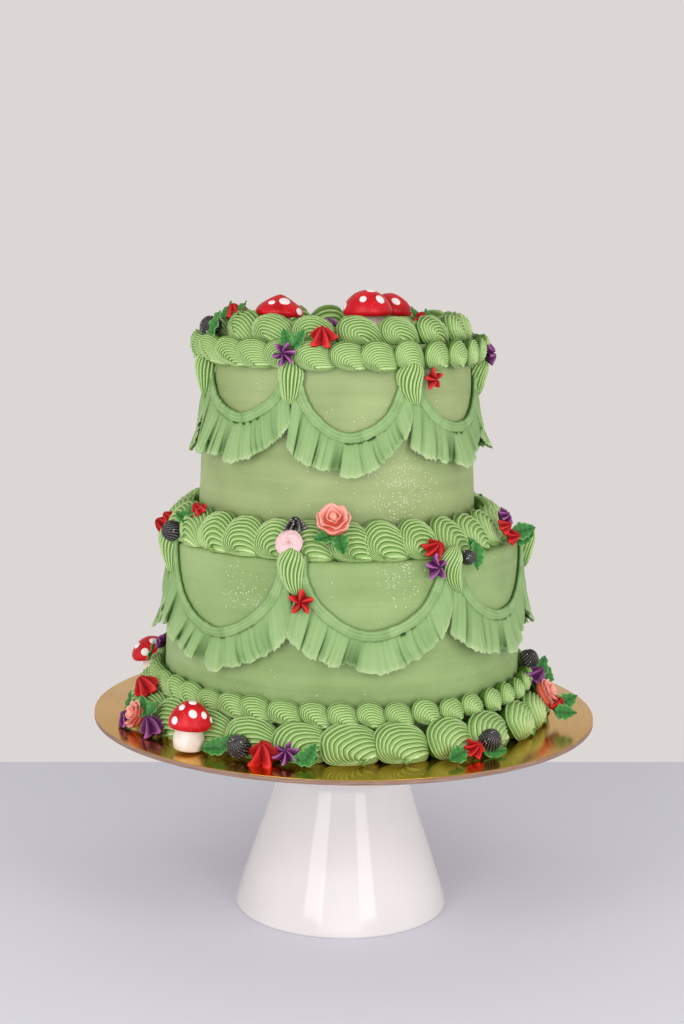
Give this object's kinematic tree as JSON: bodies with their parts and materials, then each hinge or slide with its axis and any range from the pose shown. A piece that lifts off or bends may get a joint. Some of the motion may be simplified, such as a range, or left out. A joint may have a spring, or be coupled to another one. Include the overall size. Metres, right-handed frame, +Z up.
{
  "type": "two-tier buttercream cake on stand",
  "caption": "Round two-tier cake in pale green buttercream with shell borders, draped ruffle swags, piped flowers and meringue mushrooms, on a gold board and a white pedestal stand.",
  "frame": {"origin": "centre of the pedestal foot, on the table", "axes": "+Z up, -Y towards the front seen in the picture, +X to the viewer's right"},
  "size_m": [0.3048, 0.3048, 0.3821],
  "materials": {
    "white_glaze": "smooth glossy white glaze over earthenware",
    "gold_foil": "smooth gold foil laid on card",
    "card_edge": "bare grey-brown board edge",
    "green_icing": "soft pale green buttercream, matte with a faint grease sheen",
    "frill_icing": "soft pale green buttercream, piped thin",
    "leaf_icing": "deep green piped buttercream",
    "red_icing": "strong red piped buttercream",
    "purple_icing": "dark purple piped buttercream",
    "dark_icing": "near black piped buttercream",
    "coral_icing": "coral pink piped buttercream",
    "pink_icing": "pale pink piped buttercream",
    "mushroom_cap": "satin red coating over meringue",
    "mushroom_stem": "dry off-white meringue",
    "cap_dot": "white dots laid on the caps"
  },
  "bodies": {
    "root": {"stand": "white_glaze", "board": "gold_foil", "lower_tier": "green_icing", "upper_tier": "green_icing", "base_rope": "green_icing", "base_shells": "green_icing", "ledge_shells": "green_icing", "side_rope": "green_icing", "crown_shells": "green_icing", "upper_cord": "green_icing", "lower_cord": "green_icing", "upper_ruffle": "frill_icing", "lower_ruffle": "frill_icing", "upper_drop_1": "green_icing", "upper_drop_2": "green_icing", "upper_drop_3": "green_icing", "upper_drop_4": "green_icing", "upper_drop_5": "green_icing", "upper_drop_6": "green_icing", "upper_drop_7": "green_icing", "lower_drop_1": "green_icing", "lower_drop_2": "green_icing", "lower_drop_3": "green_icing", "lower_drop_4": "green_icing", "lower_drop_5": "green_icing", "lower_drop_6": "green_icing", "lower_drop_7": "green_icing", "mushroom_top_left_cap": "mushroom_cap", "mushroom_top_left_stem": "mushroom_stem", "mushroom_top_middle_cap": "mushroom_cap", "mushroom_top_middle_stem": "mushroom_stem", "mushroom_top_right_cap": "mushroom_cap", "mushroom_top_right_stem": "mushroom_stem", "mushroom_base_left_cap": "mushroom_cap", "mushroom_base_left_stem": "mushroom_stem", "mushroom_base_front_cap": "mushroom_cap", "mushroom_base_front_stem": "mushroom_stem", "top_left_toppings": "dark_icing", "top_front_left_toppings": "purple_icing", "top_front_toppings": "red_icing", "top_inner_toppings": "purple_icing", "top_back_right_toppings": "red_icing", "top_right_toppings": "purple_icing", "upper_drop_toppings": "red_icing", "top_back_toppings": "coral_icing", "ledge_left_toppings": "dark_icing", "ledge_front_left_toppings": "pink_icing", "ledge_front_toppings": "coral_icing", "ledge_front_right_toppings": "purple_icing", "ledge_right_toppings": "leaf_icing", "ledge_far_right_toppings": "purple_icing", "lower_drop_toppings": "red_icing", "ledge_back_left_toppings": "pink_icing", "ledge_back_right_toppings": "red_icing", "base_back_left_toppings": "purple_icing", "base_left_toppings": "red_icing", "base_front_left_toppings": "red_icing", "base_front_right_toppings": "dark_icing", "base_right_toppings": "coral_icing", "base_back_toppings": "coral_icing"}
  },
  "joints": []
}
